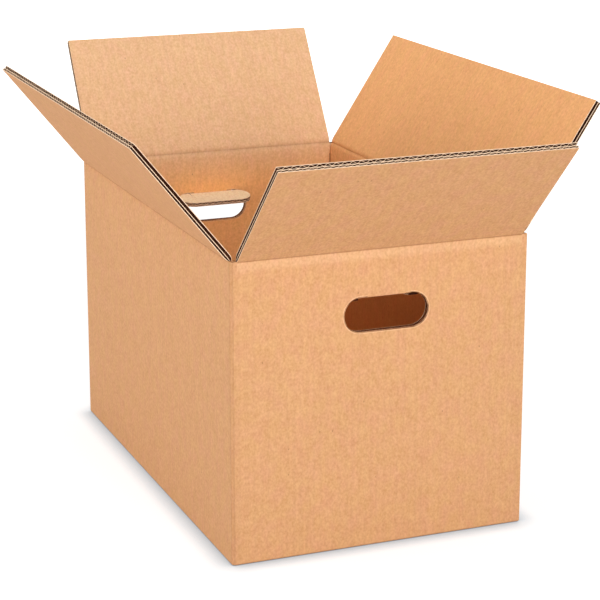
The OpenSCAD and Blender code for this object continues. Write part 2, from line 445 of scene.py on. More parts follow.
# edges sharper than angle, in degrees, stay sharp
def finishMesh(name, draft, body=None, angle=32, place=None):
    bmesh.ops.remove_doubles(draft, verts=draft.verts, dist=2e-4)
    bmesh.ops.dissolve_degenerate(draft, edges=draft.edges, dist=1e-5)
    bmesh.ops.recalc_face_normals(draft, faces=draft.faces)
    mesh = bpy.data.meshes.new(name)
    draft.to_mesh(mesh)
    draft.free()
    for look in looks:
        mesh.materials.append(look)
    mesh.transform(Matrix.Scale(mm, 4) @ (place or Matrix.Identity(4)))
    return linkPiece(name, mesh, body, angle)


def newObject(name, data):
    made = bpy.data.objects.new(name, data)
    bpy.context.scene.collection.objects.link(made)
    return made


def linkPiece(name, mesh, body, angle):
    mesh.set_sharp_from_angle(angle=math.radians(angle))
    piece = newObject(name, mesh)
    if body:
        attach(piece, body)
    return piece


# Fluted board, made by Geometry Nodes: x across the flutes, y in from the outer face, z along the flutes

boardInputs = {
    "Width": 303.8,
    "Length": 140.0,
    "Liner Thickness": linerT,
    "Flute Paper Thickness": 0.5,
    "Small Flute Height": 1.86,
    "Large Flute Height": 2.79,
    "Small Waves": 44.0,
    "Large Waves": 37.0,
    "Liner Columns": 2.0,
    "Unevenness": 0.10,
    "Seed": 1.0,
}

flutes = {
    "smallColumns": 8,  # mesh columns in each wave
    "largeColumns": 10,
    "smallPhase": 1.6,
    "roughAcross": 0.11,  # scales of the unevenness, per mm
    "roughAlong": 0.02,
    "roughTurn": 14,
    "face": 0.6,  # limits of the normals' parts
    "rim": 0.5,
    "cut": 0.7,
}


def boardTree(name, withFaces):
    tree = bpy.data.node_groups.new(name, "GeometryNodeTree")
    for label, default in boardInputs.items():
        socket = tree.interface.new_socket(name=label, in_out="INPUT", socket_type="NodeSocketFloat")
        socket.default_value = default
    tree.interface.new_socket(name="Geometry", in_out="OUTPUT", socket_type="NodeSocketGeometry")
    nodes = Nodes(tree)
    add = nodes.add
    first = add("NodeGroupInput")
    given = {label: nodes.also(first, i) for i, label in enumerate(boardInputs)}
    width, length = given["Width"], given["Length"]
    sheetT, fluteT = given["Liner Thickness"], given["Flute Paper Thickness"]
    smallH, largeH = given["Small Flute Height"], given["Large Flute Height"]

    # a sheet of paper, with its inner face at a depth, flat or in waves
    def sheet(innerDepth, thickness, columns, waves=None, swing=0.0, phase=0.0):
        size = {"Size X": width, "Size Y": length, "Vertices X": columns + 1, "Vertices Y": 2}
        grid = add("GeometryNodeMeshGrid", None, size)
        x, y, _ = nodes.split(add("GeometryNodeInputPosition"))
        depth = innerDepth
        if waves is not None:
            turn = (x / width + 0.5) * waves * (2 * math.pi)
            place = {0: x * flutes["roughAcross"], 1: y * flutes["roughAlong"], 2: given["Seed"]}
            spot = add("ShaderNodeCombineXYZ", None, place)
            rough = add("ShaderNodeTexNoise", None, {"Vector": spot, "Scale": 1.0, "Detail": 1.0}) - 0.5
            turn = turn + rough * (given["Unevenness"] * flutes["roughTurn"]) + phase
            depth = innerDepth + turn.calc("COSINE") * swing
        spot = add("ShaderNodeCombineXYZ", None, {0: x, 1: depth, 2: y + length / 2})
        moved = add("GeometryNodeSetPosition", None, {"Geometry": grid, "Position": spot})
        push = {"Mesh": moved, "Offset Scale": thickness, "Individual": False}
        thick = add("GeometryNodeExtrudeMesh", {"mode": "FACES"}, push)
        under = add("GeometryNodeFlipFaces", None, {"Mesh": moved})
        both = add("GeometryNodeJoinGeometry", None, {0: [thick, under]})
        merged = add("GeometryNodeMergeByDistance", None, {"Geometry": both, "Distance": 0.0005})
        return dressed(merged, fluteShadePaper)

    def dressed(geometry, look, chosen=True):
        values = {"Geometry": geometry, "Material": look, "Selection": chosen}
        return add("GeometryNodeSetMaterial", None, values)

    def wavy(innerDepth, kind, height, phase):
        waves = given[kind.capitalize() + " Waves"]
        swing = (height - fluteT) / 2
        return sheet(innerDepth, fluteT, waves * flutes[kind + "Columns"], waves, swing, phase)

    _, facing, _ = nodes.split(add("GeometryNodeInputNormal"))
    outward = facing.calc("LESS_THAN", -flutes["face"])
    inward = facing.calc("GREATER_THAN", flutes["face"])
    rims = facing.calc("ABSOLUTE").calc("LESS_THAN", flutes["rim"])
    total = 3 * sheetT + smallH + largeH
    sheets = [
        dressed(sheet(2 * sheetT + smallH, sheetT, given["Liner Columns"]), cutEdge, rims),
        wavy(sheetT + smallH / 2 + fluteT / 2, "small", smallH, flutes["smallPhase"]),
        wavy(2 * sheetT + smallH + largeH / 2 + fluteT / 2, "large", largeH, 0.0),
    ]
    if withFaces:
        outer = dressed(sheet(sheetT, sheetT, given["Liner Columns"]), linerOutside, outward)
        inner = dressed(sheet(total, sheetT, given["Liner Columns"]), linerInside, inward)
        sheets += [dressed(outer, cutEdge, rims), dressed(inner, cutEdge, rims)]
    joined = add("GeometryNodeJoinGeometry", None, {0: sheets})
    real = add("GeometryNodeRealizeInstances", None, {"Geometry": joined})
    fluted = add("GeometryNodeMaterialSelection", None, {"Material": fluteShadePaper})
    _, _, rise = nodes.split(add("GeometryNodeInputNormal"))
    cut = rise.calc("ABSOLUTE").calc("GREATER_THAN", flutes["cut"])
    add("NodeGroupOutput", None, {0: dressed(real, fluteEnds, cut * fluted)})
    return tree


wholeBoard = boardTree("doubleWallBoard", True)
boardCore = boardTree("doubleWallCore", False)


# the evaluated tree as a plain mesh, still in mm and in the board's own place
def flutedMesh(name, tree, inputs):
    carrier = newObject(name, bpy.data.meshes.new(name))
    modifier = carrier.modifiers.new("flutes", "NODES")
    modifier.node_group = tree
    for item in tree.interface.items_tree:
        if item.in_out == "INPUT" and item.name in inputs:
            modifier[item.identifier] = float(inputs[item.name])
    bpy.context.view_layer.update()
    depsgraph = bpy.context.evaluated_depsgraph_get()
    mesh = bpy.data.meshes.new_from_object(carrier.evaluated_get(depsgraph), depsgraph=depsgraph)
    mesh.name = name
    bpy.data.objects.remove(carrier)
    return mesh


drawnLength = 10.0  # of a board that its outline stretches


def readAll(items, key, kind=np.int32, each=1):
    values = np.empty(len(items) * each, kind)
    items.foreach_get(key, values)
    return values


# cut ends above a height lie in the shade, and take the flutes' painted shade
def darkenEnds(mesh, heights, level):
    starts = readAll(mesh.polygons, "loop_start")
    kinds = readAll(mesh.polygons, "material_index")
    papers = list(mesh.materials)
    shaded = np.isin(kinds, [papers.index(cutEdge), papers.index(fluteEnds)])
    shaded &= np.minimum.reduceat(heights, starts) > level
    kinds[shaded] = papers.index(fluteShadePaper)
    mesh.polygons.foreach_set("material_index", kinds)


# outline is functions of x for the lowest and highest z, crush the share of its thickness that is left
def boardPiece(
    name, width, length, place, body, middle,
    tree=wholeBoard, start=0.0, outline=None, crush=1.0, columns=2, seed=1.0,
    innerPaper=linerInside, edgePaper=None, darkAbove=None,
):
    room = boardT * crush - 3 * linerT
    inputs = {
        "Width": width,
        "Length": length,
        "Small Waves": max(1, round(width / box["smallPitch"])),
        "Large Waves": max(1, round(width / box["largePitch"])),
        "Small Flute Height": room * box["smallShare"],
        "Large Flute Height": room * (1 - box["smallShare"]),
        "Liner Columns": columns,
        "Seed": seed,
    }
    mesh = flutedMesh(name, tree, inputs)
    for index, material in enumerate(mesh.materials):
        if material == linerInside:
            mesh.materials[index] = innerPaper
        if edgePaper and material in (cutEdge, fluteEnds):
            mesh.materials[index] = edgePaper
    points = readAll(mesh.vertices, "co", float, 3).reshape(-1, 3)
    if outline:
        lows, highs = (np.array([edge(x) for x in points[:, 0]]) for edge in outline)
        points[:, 2] = lows + points[:, 2] / length * (highs - lows)
    points[:, 2] += start
    corners = readAll(mesh.loops, "vertex_index")
    uv = mesh.uv_layers.new(name="board")
    places = np.stack([(middle - points[corners, 0]) * mm, points[corners, 2] * mm], 1)
    uv.data.foreach_set("uv", places.astype(np.float32).ravel())
    mesh.uv_layers.active = uv
    if darkAbove is not None:
        darkenEnds(mesh, points[corners, 2], darkAbove)
    world = np.array(place)
    moved = (points @ world[:3, :3].T + world[:3, 3]) * mm
    mesh.vertices.foreach_set("co", moved.astype(np.float32).ravel())
    mesh.update()
    return linkPiece(name, mesh, body, 40)


# Top flaps

for index, (name, wall) in enumerate(walls.items()):
    length = wall["length"] - box["bandReach"]
    # the back flap's inner face takes the paler inner liner, painted light
    flap = boardPiece(
        name + "FlapBoard", wall["width"], length, flapPlace(name), name + "_flap", wall["middle"],
        start=box["bandReach"], seed=3.0 + index, innerPaper=linerPaintedLit if name == "back" else linerInside,
    )
    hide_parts(name + "_flap")
print("flaps made")

# Creases between walls and flaps

crease = {
    "groove": 0.5,  # how far the inner liner dips below the chamfer
    "softness": 6.5,  # how far the bend reaches into the wall and the flap
    "near": 0.35,  # where the bend's control points lie, as a share of that
    "steps": [0, 0.3, 0.55, 0.75, 0.88, 0.96],
    "columns": [0.0, 1.0, 2.5, 4.0, 5.5, 7.5],  # in from each slot
    "outerShades": [0, 0, 0, 0, 0.05, 0.25, 0.7],  # painted shade along the crease: tones up to the middle, as shares of the dark ones
    "innerShades": [0, 0, 0.03, 0.12, 0.3, 0.6, 0.9],
    "darkOutside": 0.62,
    "darkInside": 0.28,
    "plugIn": 1.3,  # how far the open flutes run in from the slots
    "plugT": 0.4,
    "blendReach": 6.0,
}

# the walls' upright folds, and the bend into the bottom, with painted shade along them
fold = {
    "outside": 0.24,  # tones of painted shade at the folds
    "beside": 0.06,
    "besideReach": 0.7,
    "inside": 0.5,
    "insideReach": 0.8,
    # painted shade along the walls' bottom edge
    "foot": 0.34,
    "footFade": 0.15,  # tone lost per mm above the foot
    "slack": 0.05,
    "bulge": 0.9,  # how far the inner liner stands off beside a fold
    "bulgeReach": 8.0,
    "slotIn": 0.5,  # from a flap's edge to the inner corner
    "gaps": [8.0, 6.5, 5.0, 4.0, 3.0, 2.0, 1.2, 0.5, 0.0],
}


def bulgeNearCorner(gap):
    return fold["bulge"] * math.sin(math.pi * min(gap, fold["bulgeReach"]) / fold["bulgeReach"]) ** 2


def bend(first, near, last, t):
    return first * (1 - t) ** 2 + near * (2 * t * (1 - t)) + last * t * t


# one layer of board across a crease, from the wall up into the flap, as points of depth and height
def creasePath(wall, depth):
    lean = math.radians(wall["lean"])
    half = lean / 2
    axisIn = wall["axisIn"]
    soft, near, steps = crease["softness"], crease["near"], crease["steps"]
    across = Vector((math.cos(half), math.sin(half)))
    flapUp = Vector((-math.sin(lean), math.cos(lean)))
    flapIn = Vector((math.cos(lean), math.sin(lean)))
    outermost = -axisIn / math.cos(half) + wall["valley"]
    innermost = (boardT - axisIn) / math.cos(half) - soft * math.sin(half) - crease["groove"]
    middle = across * (outermost + (innermost - outermost) * depth / boardT)
    offset = depth - axisIn
    chamfer = min(offset * math.tan(half), 0)
    wallEnd = Vector((offset, chamfer - soft))
    wallNear = Vector((offset, chamfer - soft * near))
    flapEnd = flapIn * offset + flapUp * (soft - chamfer)
    flapNear = flapIn * offset + flapUp * (soft * near - chamfer)
    below = [bend(wallEnd, wallNear, middle, t) for t in steps]
    above = [bend(flapEnd, flapNear, middle, t) for t in reversed(steps)]
    foot = Vector((offset, box["bandFoot"] - wall["creaseZ"]))
    top = flapIn * offset + flapUp * box["bandReach"]
    return [foot, *below, middle, *above, top]


def creaseBand(name):
    wall = walls[name]
    draft = newDraft()
    half = wall["width"] / 2
    xs = [-half + i for i in crease["columns"]] + [half - i for i in reversed(crease["columns"])]

    def point(x, p, bulge=0.0):
        return (x, wall["axisIn"] + p.x + bulge, wall["creaseZ"] + p.y)

    # the inner face's foot bulges as the wall below it does
    def rows(depth):
        path = creasePath(wall, depth)
        grid = [[point(x, p) for x in xs] for p in path]
        if depth == boardT:
            grid[0] = [point(x, path[0], bulgeNearCorner(half + fold["slotIn"] - abs(x))) for x in xs]
        return grid

    innerLook = farLook if name == "back" else insideLook
    darks = (crease["darkOutside"], 0.0, crease["darkInside"])
    for first, second, frontLook, backLook, dark in linerLayers(innerLook, darks):
        heights = [box["bandFoot"] + s for s in pathLengths(creasePath(wall, first))]
        places = [[((wall["middle"] - x) * mm, z * mm) for x in xs] for z in heights]
        # painted shade along the crease, darkest at its middle
        rise = crease["innerShades"] if second == boardT else crease["outerShades"]
        shades = [shade * dark for shade in rise + [1] + rise[::-1]]
        # painted highlight on the outer face just below the crease
        if frontLook == outsideLook:
            shades[1:5] = [shade - wall["paleStrip"] for shade in shades[1:5]]
        tones = [[shade] * len(xs) for shade in shades]
        addSheet(draft, rows(first), rows(second), places, frontLook, backLook, tones)
    # the cells' ends, a little in from the slots, as dark sheets of painted shade
    plugX = half - crease["plugIn"]
    for side in (-1, 1):
        for cell in ((linerT, mid), (mid + linerT, boardT - linerT)):
            ends = []
            for x in (side * plugX, side * (plugX - crease["plugT"])):
                ends.append([[point(x, p) for p in creasePath(wall, depth)] for depth in cell])
            count = len(ends[0][0])
            addSheet(draft, *ends, [[(0, 0)] * count] * 2, fluteShadeLook, fluteShadeLook, [[0.0] * count] * 2)
    band = finishMesh(name + "Crease", draft, place=wallPlace(name), angle=50)
    lean = math.radians(wall["lean"])
    upward = Vector((0, -math.sin(lean / 2), math.cos(lean / 2))) * crease["blendReach"]
    axis = Vector((0, wall["axisIn"], wall["creaseZ"]))
    low = wallPlace(name) @ (axis - upward)
    high = wallPlace(name) @ (axis + upward)
    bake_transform(band, "box", name + "_flap", low * mm, high * mm)


for name in walls:
    creaseBand(name)
print("creases made")


# Walls: two liners carried round the box, with the hand holes cut out

hole = {
    "width": 90.0,
    "height": 35.0,
    "shift": 4.0,
    "topZ": 260.2,
    "arcSteps": 20,
    "creaseHalf": 20.0,  # uncut between these, where the tab folds
    "creaseEnd": 1.5,
    "lips": [(2.2, 0.0), (1.4, -0.6), (1.0, -0.4), (0.8, 0.9), (0.0, 1.0)],  # growth and tone: a painted highlight round the cut, and a painted shadow just inside it
    "lipIn": 0.18,  # how far the cut edge is pressed in
}
holeHalf = hole["height"] / 2
roundAt = hole["width"] / 2 - holeHalf  # the round ends' centres
uncutEnds = (hole["creaseHalf"] + hole["creaseEnd"], hole["creaseHalf"])


# the hole's outline, with the ends of the tab's crease as points of its upper edge
def holeLine(grow):
    radius = holeHalf + grow
    points = []
    for side, begin in ((1, -90), (-1, 90)):
        centre = (side * roundAt, -holeHalf)
        points += arc(centre, radius, begin, begin + 180, hole["arcSteps"])
        if side == 1:
            points += [(x, radius - holeHalf) for x in (*uncutEnds, -uncutEnds[1], -uncutEnds[0])]
    return points


# the places of a wall's points along it, from fold to fold
def alongWall(foldAt, flapHalf):
    panelHalf = flapHalf - box["panelIn"]
    return [-foldAt, -flapHalf, -panelHalf, panelHalf, flapHalf, foldAt]


# half the width and length at a depth, the folds' radius there, and how far from a corner they end
def foldSizes(depth):
    radius = max(box["foldRadius"] - depth, box["leastRadius"])
    return halfWide - depth, halfLong - depth, radius, radius + box["foldEase"]


# one face of a liner round the box, from the front wall's raw edge to the fold of the glued lap
def linerPath(depth):
    wide, long, radius, past = foldSizes(depth)
    steps = box["foldSteps"]
    end = alongWall(wide - past, endHalf)
    side = alongWall(long - past, sideHalf)
    lapFace = -halfLong + boardT + depth
    path = [(rawX, -long)] + [(-x, -long) for x in end[1:]]
    path += arc((-wide + radius, -long + radius), radius, 270, 180, steps)
    path += [(-wide, y) for y in side]
    path += arc((-wide + radius, long - radius), radius, 180, 90, steps)
    path += [(x, long) for x in end]
    path += arc((wide - radius, long - radius), radius, 90, 0, steps)
    path += [(wide, -y) for y in side[:4]] + [(wide, lapFace + past)]
    path += arc((wide - radius, lapFace + radius), radius, 0, -90, steps)
    path += [(halfWide - boardT, lapFace)]
    return path


# the inner liner bulges a little on both sides of each folded corner
def innerPath(depth):
    wide, long = halfWide - depth, halfLong - depth
    gaps = fold["gaps"]
    path = [(rawX, -long), (endHalf, -long), (endHalf - box["panelIn"], -long)]
    corners = [(-wide, -long, (1, 0), (0, 1)), (-wide, long, (0, -1), (1, 0)), (wide, long, (-1, 0), (0, -1))]
    for x, y, comeFrom, goTo in corners:
        stretches = [(gap, comeFrom) for gap in gaps] + [(gap, goTo) for gap in reversed(gaps[:-1])]
        for gap, (alongX, alongY) in stretches:
            bulge = bulgeNearCorner(gap)
            inX = 0 if alongX else -math.copysign(bulge, x)
            inY = -math.copysign(bulge, y) if alongX else 0
            path.append((x + alongX * gap + inX, y + alongY * gap + inY))
    lapFace = -halfLong + boardT + box["lapT"]
    path += [(wide, -sideHalf + box["panelIn"]), (wide, lapFace)]
    return path


def triangulatedPanel(corners, line):
    flat = bmesh.new()
    edges = []
    for ring in (corners, line):
        verts = [flat.verts.new((x, 0, z)) for x, z in ring]
        edges += [flat.edges.new((a, b)) for a, b in zip(verts, verts[1:] + verts[:1])]
    bmesh.ops.triangle_fill(flat, use_beauty=True, use_dissolve=False, edges=edges, normal=(0, -1, 0))
    faces = [[(v.co.x, v.co.z) for v in f.verts] for f in flat.faces]
    flat.free()
    return faces


# a face on a wall, from points of x, z and depth in the wall's own place
def addWallFace(draft, name, points, look, tones=()):
    place = wallPlace(name)
    middle = walls[name]["middle"]
    corners = [place @ Vector((x, depth, z)) for x, z, depth in points]
    addFace(draft, corners, [((middle - x) * mm, z * mm) for x, z, _ in points], look, tones)


# a strip between two rings, each given as points, a depth and the points' tones
def addStrip(draft, name, ringA, ringB, look):
    (lineA, depthA, tonesA), (lineB, depthB, tonesB) = ringA, ringB
    for i in range(len(lineA)):
        j = (i + 1) % len(lineA)
        quad = [(*lineA[i], depthA), (*lineA[j], depthA), (*lineB[j], depthB), (*lineB[i], depthB)]
        addWallFace(draft, name, quad, look, [tonesA[i], tonesA[j], tonesB[j], tonesB[i]])


# the panel round a hand hole, with its lips. The hole's line is given back
def addHolePanel(draft, name, corners, depth, look, lipDepth):
    uncut = [abs(x) <= hole["creaseHalf"] and z > -1 for x, z in holeLine(0.0)]
    rings = []
    for grow, tone in hole["lips"]:
        line = [(x + hole["shift"], z + hole["topZ"]) for x, z in holeLine(grow)]
        rings.append((line, lipDepth if grow == 0 else depth, [0.0 if whole else tone for whole in uncut]))
    for face in triangulatedPanel(corners, rings[0][0]):
        addWallFace(draft, name, [(x, z, depth) for x, z in face], look)
    for ringA, ringB in zip(rings, rings[1:]):
        addStrip(draft, name, ringA, ringB, look)
    return rings[-1][0]


# the cell of the path that is the flat panel of the front or the back wall
def findSpan(path, name):
    def straight(i):
        (x, y), (nextX, nextY) = path[i], path[i + 1]
        return abs(x - nextX) if abs(y - nextY) < 1e-6 and (y < 0) == (name == "front") else 0.0

    return max(range(len(path) - 1), key=straight)


# the tone of painted shade at a fold, at a point of a liner's path
def foldTone(x, y):
    if x > 0 and y < 0:
        return 0.0
    inX = halfWide - abs(x)
    inY = halfLong - abs(y)
    if max(inX, inY) < box["foldRadius"] + fold["slack"]:
        return fold["outside"]
    if max(inX, inY) < box["foldRadius"] + fold["besideReach"]:
        return fold["beside"]
    return fold["inside"] if max(abs(inX - boardT), abs(inY - boardT)) < fold["insideReach"] else 0.0


# the inner liner's paint on each wall, painted light on the back wall and painted shade low on the others,
# for a cell between two points of its path
def wallLook(first, second):
    return farLook if min(first[1], second[1]) > halfLong - box["panelIn"] else deepLook


# a point of a path at a height, drawn in where it lies on a wall
def drawnIn(x, y, z, inset):
    if abs(x) > halfWide - box["panelIn"]:
        x -= math.copysign(inset, x)
    if abs(y) > halfLong - box["panelIn"]:
        y -= math.copysign(inset, y)
    return x, y, z


# rows are heights, each with how far in the liner is drawn there
def addLiner(draft, pathAt, depths, rows, looksPair, lips):
    paths = [pathAt(depth) for depth in depths]
    outerPath = paths[0]
    places = [[(s * mm, z * mm) for s in pathLengths(outerPath)] for z, _ in rows]
    grids = [[[drawnIn(x, y, z, inset) for x, y in path] for z, inset in rows] for path in paths]
    spans = [findSpan(outerPath, "front"), findSpan(outerPath, "back")]
    panelRow = max(range(len(rows) - 1), key=lambda i: rows[i + 1][0] - rows[i][0])
    folds = [foldTone(x, y) for x, y in outerPath]
    bent = len(rows) > 2
    # painted shade along the bottom of the walls, fading upward
    feet = [max(0.0, fold["foot"] - fold["footFade"] * (z - rows[0][0])) if bent else 0.0 for z, _ in rows]
    tones = [[max(foot, tone) for tone in folds] for foot in feet]
    skip = {(panelRow, span) for span in spans}
    addSheet(draft, *grids, places, *looksPair, tones, skip)
    low, high = rows[panelRow][0], rows[panelRow + 1][0]
    for name, span in zip(("front", "back"), spans):
        for path, depth, look, lip in zip(paths, depths, looksPair, lips):
            # the back wall's own x runs the other way
            left, right = sorted(x if name == "front" else -x for x, _ in path[span : span + 2])
            if callable(look):
                look = farLook if name == "back" else deepLook
            corners = [(left, low), (right, low), (right, high), (left, high)]
            line = addHolePanel(draft, name, corners, depth, look, lip)
        plain = [0.0] * len(line)
        addStrip(draft, name, (line, lips[0], plain), (line, lips[1], plain), cutLook)


radius = box["bottomRadius"]
turns = np.radians([0, 22.5, 45, 67.5, 90])
rows = [(floorZ + radius * (1 - math.cos(turn)), radius * (1 - math.sin(turn))) for turn in turns]
rows.append((box["bandFoot"], 0.0))
draft = newDraft()
addLiner(draft, linerPath, (0.0, linerT), rows, (outsideLook, fluteShadeLook), (hole["lipIn"], linerT))
outerShell = finishMesh("outerLinerWalls", draft, "box")

rows = [(floorZ + boardT, 0.0), (box["bandFoot"], 0.0)]
within = boardT - linerT
draft = newDraft()
addLiner(draft, innerPath, (within, boardT), rows, (fluteShadeLook, wallLook), (within, boardT - hole["lipIn"]))
finishMesh("innerLinerWalls", draft, "box")
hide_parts("carton")
print("walls made")


# Corner posts between the flaps' slots, up to the slots' ends

post = {
    "fillerShort": 0.5,  # how far the filler between the liners ends below them
    "rawRun": 8.0,  # how far the middle liner runs in from the raw edge
    "rawFoot": 0.8,
}


def addPost(draft, outer, inner, frontLook, backLook, low, high):
    places = [[(s * mm, z * mm) for s in pathLengths(outer)] for z in (low, high)]
    front, back = ([[(x, y, z) for x, y in path] for z in (low, high)] for path in (outer, inner))
    tones = [[foldTone(x, y) for x, y in outer]] * 2
    addSheet(draft, front, back, places, frontLook, backLook, tones, endLook=insideLook)


# the path of one face of a liner round a corner, from slot to slot
def cornerLoop(depth, corner):
    sx, sy = corner
    wide, long, radius, past = foldSizes(depth)
    if corner == (1, -1):
        return [(endHalf, -long), (rawX, -long)]
    points = [(endHalf, long), (max(wide - past, endHalf + 0.01), long)]
    points += arc((wide - radius, long - radius), radius, 90, 0, box["foldSteps"])
    points += [(wide, max(long - past, sideHalf + 0.01)), (wide, sideHalf)]
    return [(sx * x, sy * y) for x, y in points]


draft = newDraft()
foot, head = box["bandFoot"], box["cornerTop"]
gap = box["cellGap"]
cells = [(linerT + gap, mid - gap), (mid + linerT + gap, boardT - linerT - gap)]
layers = linerLayers(insideLook, (head, head, head))
layers += [(low, high, insideLook, insideLook, head - post["fillerShort"]) for low, high in cells]
for corner in ((-1, -1), (-1, 1), (1, 1), (1, -1)):
    for low, high, frontLook, backLook, top in layers:
        addPost(draft, cornerLoop(low, corner), cornerLoop(high, corner), frontLook, backLook, foot, top)
# the raw edge below the post: the middle liner and the cells' ends, in the flutes' painted shade
run = (rawX - post["rawRun"], rawX)
outer, inner = ([(x, depth - halfLong) for x in run] for depth in (mid, mid + linerT))
addPost(draft, outer, inner, fluteShadeLook, fluteShadeLook, floorZ + boardT, foot - gap)
plugX = rawX - crease["plugIn"]
for cell in cells:
    outer, inner = ([(x, depth - halfLong) for depth in cell] for x in (plugX, plugX - crease["plugT"]))
    addPost(draft, outer, inner, fluteShadeLook, fluteShadeLook, floorZ + post["rawFoot"], foot - gap)
finishMesh("cornerPosts", draft, "box")


# Hand holes: flutes in the rims, and the pushed-in tabs

rim = {"width": 99.6, "above": 9.0, "below": 12.0, "gap": 0.1}

tabs = {
    "turn": 82,
    "axisIn": 6.0,
    "clear": 1.0,
    "boardT": 5.2,  # crushed by hands
    "root": 18.0,  # where the open flutes begin, from the crease
    "shoulder": 2.6,
    "bandHalf": 26.5,  # half the width of the crease band
    "steps": 12,
    "outerPull": (1.0, -0.25),  # how the layers outside the axis set off from the wall
    "pullGrowth": 0.8,
    "innerPull": (1.5, 0.45),
    "endPull": 6.0,  # how the layers come into the tab, and how much more the inner one does
    "endGrowth": 5.0,
    "paintedHighlight": -0.35,  # tones: a painted highlight on the cut edge, painted shade at the fold and on the inner face
    "crease": 0.2,
    "inside": 0.36,
    "darkAbove": -12.0,
    "blendUp": 4.0,
    "blendDown": 5.5,
}
crush = tabs["boardT"] / boardT
flush = boardT - tabs["boardT"]  # the tab keeps its inner face flush with the wall's
tabAngle = math.radians(tabs["turn"])
tabWidth = hole["width"] - 2 * tabs["clear"]


# half the hole's height at x, less a clearance all round
def holeEdge(x, clear=0.0):
    radius = holeHalf - clear
    over = max(abs(x) - roundAt, 0.0)
    return math.sqrt(max(radius * radius - over * over, 0.0))


def tabTop(x):
    if abs(x) <= tabs["bandHalf"]:
        return -tabs["root"]
    return min(-holeHalf + holeEdge(x, tabs["clear"]), -tabs["shoulder"])


def tabLow(x):
    return -holeHalf - holeEdge(x, tabs["clear"])


# one layer of board from the hole's upper edge into the tab, as points of depth and height
def tabPath(depth):
    tabDown = Vector((math.sin(tabAngle), -math.cos(tabAngle)))
    tabIn = Vector((math.cos(tabAngle), math.sin(tabAngle)))
    offset = depth - tabs["axisIn"]
    outside = Vector(tabs["outerPull"]) * (1.0 + tabs["pullGrowth"] * abs(offset))
    first = Vector((offset, 0.0))
    last = tabIn * (flush + depth * crush - tabs["axisIn"]) + tabDown * tabs["root"]
    nearFirst = first + (outside if offset < 0 else Vector(tabs["innerPull"]))
    nearLast = last - tabDown * (tabs["endPull"] + tabs["endGrowth"] * depth / boardT)
    points = []
    for t in np.linspace(0, 1, tabs["steps"]):
        begin = first * (1 - t) ** 3 + nearFirst * (3 * t * (1 - t) ** 2)
        points.append(begin + nearLast * (3 * t * t * (1 - t)) + last * t**3)
    return points


def tabBand(name):
    draft = newDraft()
    middle = walls[name]["middle"]
    outwards = (tabs["bandHalf"], *uncutEnds)
    xs = [*(-x for x in outwards), 0, *reversed(outwards)]
    layers = linerLayers(tabLook, (tabs["paintedHighlight"], 0.0, tabs["inside"]))
    downs = np.linspace(0, tabs["root"], tabs["steps"])
    places = [[((middle - x) * mm, (hole["topZ"] - s) * mm) for x in xs] for s in downs]

    def point(x, p):
        return (x + hole["shift"], tabs["axisIn"] + p.x, hole["topZ"] + p.y)

    for first, second, frontLook, backLook, tone in layers:
        grids = [[[point(x, p) for x in xs] for p in tabPath(depth)] for depth in (first, second)]
        tones = [[0.0] * len(xs) for _ in downs]
        # painted light where the tab leaves the wall: a highlight on the cut edge, shade along the fold
        tones[0] = [tone if tone > 0 or abs(x) > hole["creaseHalf"] else tabs["crease"] for x in xs]
        addSheet(draft, *grids, places, frontLook, backLook, tones, sideLook=fluteShadeLook)
    return finishMesh(name + "TabCrease", draft, place=wallPlace(name), angle=60)


rimParts = {
    "Lower": (lambda x: -holeHalf - rim["below"], lambda x: -holeEdge(x) - rim["gap"]),
    "Upper": (lambda x: holeEdge(x) + rim["gap"], lambda x: holeHalf + rim["above"]),
}

for name in ("front", "back"):
    middle = walls[name]["middle"]
    holePlace = wallPlace(name) @ Matrix.Translation((hole["shift"], 0, hole["topZ"] - holeHalf))
    for part, outline in rimParts.items():
        boardPiece(
            name + "Hole" + part + "Flutes", rim["width"], drawnLength, holePlace, "box", middle,
            tree=boardCore, edgePaper=holeRims, outline=outline, columns=140, seed=11.0,
        )

    # the tab, with a straight root between its round ends
    axis = Vector((hole["shift"], tabs["axisIn"], hole["topZ"]))
    turned = wallPlace(name) @ Matrix.Translation(axis) @ Matrix.Rotation(tabAngle, 4, "X")
    tabPlace = turned @ Matrix.Translation((0, flush - tabs["axisIn"], 0))
    tab = boardPiece(
        name + "TabBoard", tabWidth, drawnLength, tabPlace, name + "_hole_tab", middle,
        outline=(tabLow, tabTop), columns=140, seed=15.0, crush=crush, darkAbove=tabs["darkAbove"],
        innerPaper=linerTab,
    )
    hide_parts(name + "_hole_tab")

    # the tab's crease
    band = tabBand(name)
    onward = Vector((0, math.sin(tabAngle / 2), -math.cos(tabAngle / 2)))
    low = wallPlace(name) @ (axis - onward * tabs["blendUp"])
    high = wallPlace(name) @ (axis + onward * tabs["blendDown"])
    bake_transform(band, "box", name + "_hole_tab", low * mm, high * mm)
print("hand holes made")


# Bottom: the side flaps meet under the end flaps

bottom = {
    "seam": 1.5,
    "layerGap": 0.4,
    "endLength": 146.9,
    "lapWidth": 35.0,
    "lapShort": 18.0,
    "lapMiddle": 1650.0,  # its place on the blank
}


def floorPlace(name, inset, height):
    # the board's own z goes in, and its outer face looks down
    lay = Matrix.Rotation(math.pi, 4, "Z") @ Matrix.Rotation(math.radians(90), 4, "X")
    return wallPlace(name) @ Matrix.Translation((0, inset, height)) @ lay


for index, (name, wall) in enumerate(walls.items()):
    if name in ("left", "right"):
        inset = box["bottomRadius"]
        length = (box["width"] - bottom["seam"]) / 2 - inset
        height = floorZ
    else:
        inset = boardT
        length = bottom["endLength"]
        height = floorZ + boardT + bottom["layerGap"]
    place = floorPlace(name, inset, height)
    boardPiece(name + "BottomFlap", wall["width"], length, place, "box", wall["middle"], seed=21.0 + index)

